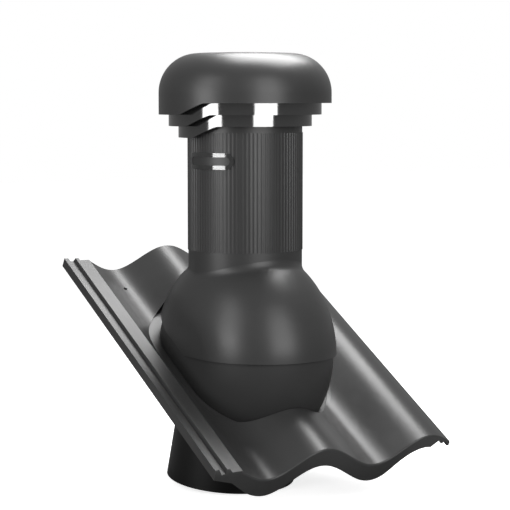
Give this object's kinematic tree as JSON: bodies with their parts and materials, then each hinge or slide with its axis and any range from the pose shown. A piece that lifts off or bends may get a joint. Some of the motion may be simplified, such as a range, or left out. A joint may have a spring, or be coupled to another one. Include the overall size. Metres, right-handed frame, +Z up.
{
  "type": "roof tile vent",
  "caption": "Double-wave roof tile with an upright ribbed outlet pipe on a swivel ball, a domed hood with stepped rain skirts, and a flared funnel below the roof.",
  "frame": {"origin": "centre of the swivel ball, on the outlet's axis", "axes": "+X across the roof towards the tile's hooked edge, +Y horizontal and up the roof, +Z up along the outlet pipe; the tile leans back by a 30 degree roof pitch"},
  "size_m": [0.33, 0.3787, 0.5241],
  "materials": {
    "graphite_plastic": "satin moulded, through-dyed graphite",
    "black_plastic": "satin moulded, black",
    "gloss_graphite_plastic": "gloss moulded, graphite",
    "grey_duct_plastic": "extruded grey",
    "pale_foam": "fine closed-cell foam"
  },
  "bodies": {
    "tile_base": {"roof_tile": "graphite_plastic", "swivel_base": "black_plastic"},
    "outlet": {"bell_pipe": "graphite_plastic", "inner_duct": "grey_duct_plastic", "insulation": "pale_foam", "hood_baffle": "gloss_graphite_plastic", "hood_dome": "graphite_plastic"}
  },
  "joints": [
    {"name": "pitch_swivel", "type": "hinge", "parent": "tile_base", "child": "outlet", "pos_m": [0, 0, 0], "axis": [1, 0, 0], "range_deg": [-10, 10]}
  ]
}
